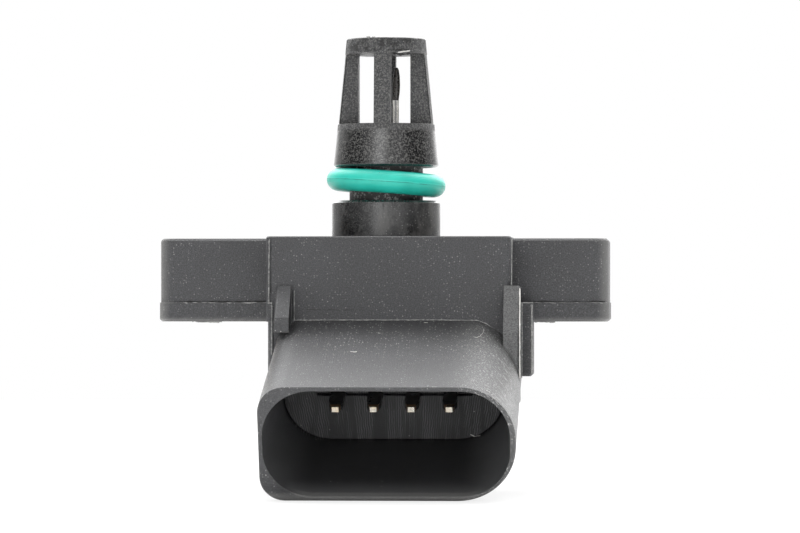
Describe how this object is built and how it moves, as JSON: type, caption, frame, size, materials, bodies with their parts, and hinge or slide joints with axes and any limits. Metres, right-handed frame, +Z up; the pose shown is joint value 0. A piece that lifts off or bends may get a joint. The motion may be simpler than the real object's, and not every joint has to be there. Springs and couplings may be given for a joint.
{
  "type": "manifold absolute pressure sensor",
  "caption": "Bolt-on intake pressure and air temperature sensor: caged nozzle with a teal sealing ring, eared flange and an inclined plug shroud.",
  "frame": {"origin": "where the nozzle's axis meets the seating plane, midway between the two bolt holes", "axes": "+Z up the nozzle, into the intake manifold; -Y out of the front, where the plug opens and slants down; +X to the right of someone who faces the plug"},
  "size_m": [0.049, 0.0437, 0.0497],
  "materials": {
    "housing_plastic": "black glass-filled polyester, fine moulded grain",
    "cover_plastic": "black glass-filled polyester, smooth",
    "sealant": "grey silicone sealant",
    "ring_rubber": "teal fluorocarbon rubber, satin with a fine mould line",
    "bushing_brass": "turned brass",
    "board_ceramic": "white alumina",
    "cell_plastic": "dark moulded ring",
    "pedestal_glass": "clear borosilicate glass",
    "silicon": "polished silicon",
    "gel": "soft clear gel",
    "chip_resin": "black moulding resin",
    "bead_coating": "dark epoxy coating",
    "tinned_wire": "bright tinned wire and solder",
    "bond_metal": "bright bond wire",
    "contact_metal": "gold-plated copper alloy",
    "capacitor_body": "brown sintered ceramic"
  },
  "bodies": {
    "root": {"board_adhesive": "sealant", "bolt_bushing_left": "bushing_brass", "bolt_bushing_right": "bushing_brass", "bond_wires": "bond_metal", "cell_gel": "gel", "cell_ring": "cell_plastic", "chip_capacitor_1": "capacitor_body", "chip_capacitor_2": "capacitor_body", "chip_capacitor_3": "capacitor_body", "circuit_board": "board_ceramic", "cover": "cover_plastic", "cover_adhesive": "sealant", "glass_pedestal": "pedestal_glass", "housing": "housing_plastic", "lead_solder": "tinned_wire", "o_ring": "ring_rubber", "pressure_die": "silicon", "signal_chip": "chip_resin", "terminal_1": "contact_metal", "terminal_2": "contact_metal", "terminal_3": "contact_metal", "terminal_4": "contact_metal", "thermistor_bead": "bead_coating", "thermistor_lead_1": "tinned_wire", "thermistor_lead_2": "tinned_wire"}
  },
  "joints": []
}
